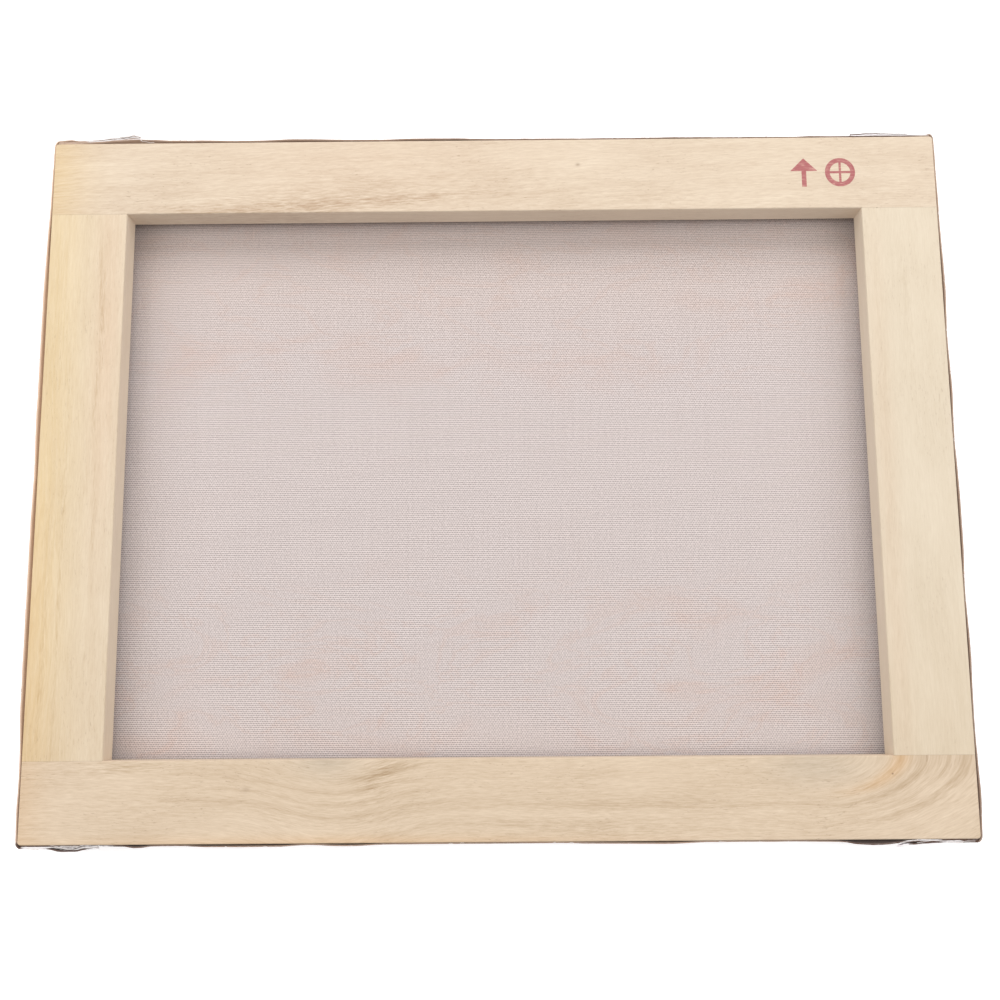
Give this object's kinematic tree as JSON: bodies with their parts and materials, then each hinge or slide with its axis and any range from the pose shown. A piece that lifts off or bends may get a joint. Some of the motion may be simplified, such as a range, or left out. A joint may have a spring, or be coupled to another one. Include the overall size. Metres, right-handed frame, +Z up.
{
  "type": "screen printing frame",
  "caption": "Flat wooden screen printing frame with joined corners and a woven mesh stretched over one face, turned up round the sides and stapled; open ink well on the other face.",
  "frame": {"origin": "middle of the frame's outline, on the underside of the mesh", "axes": "+X along the long rails, +Y across the frame towards the stamped top rail, +Z up out of the open ink well; the frame lies mesh side down"},
  "size_m": [0.4122, 0.3226, 0.0186],
  "materials": {
    "wood": "bare sanded pale softwood",
    "mesh": "plain woven coarse mesh, matte",
    "staple_steel": "bright galvanised wire",
    "stamp_ink": "matte red-brown stamping ink"
  },
  "bodies": {
    "root": {"top_rail": "wood", "bottom_rail": "wood", "left_stile": "wood", "right_stile": "wood", "mesh_panel": "mesh", "mesh_side_top": "mesh", "mesh_side_bottom": "mesh", "mesh_side_left": "mesh", "mesh_side_right": "mesh", "corner_fold_top_left": "mesh", "corner_fold_top_right": "mesh", "corner_fold_bottom_left": "mesh", "corner_fold_bottom_right": "mesh", "staples_top": "staple_steel", "staples_bottom": "staple_steel", "staples_left": "staple_steel", "staples_right": "staple_steel", "staples_corner_folds": "staple_steel", "size_stamp": "stamp_ink"}
  },
  "joints": []
}
